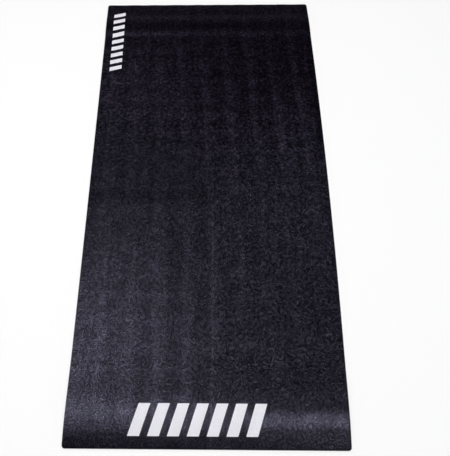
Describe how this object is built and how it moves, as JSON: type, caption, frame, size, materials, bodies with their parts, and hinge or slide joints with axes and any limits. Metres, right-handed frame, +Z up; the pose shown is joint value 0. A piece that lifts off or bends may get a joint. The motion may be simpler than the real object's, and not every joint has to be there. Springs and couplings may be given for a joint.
{
  "type": "bike trainer mat",
  "caption": "Full-length dark foamed-PVC floor mat for a bicycle on an indoor trainer, a thin sheet with small rounded corners and a low hump across each end.",
  "frame": {"origin": "on the floor under the sheet, midway between the middles of its two ends", "axes": "+Z up out of the top face, +Y along the sheet's length from its front end to its back end, +X to the right"},
  "size_m": [0.9289, 1.9968, 0.0148],
  "materials": {
    "mat": "matt pebble emboss, near-black with a violet cast"
  },
  "bodies": {
    "root": {"mat": "mat"}
  },
  "joints": []
}
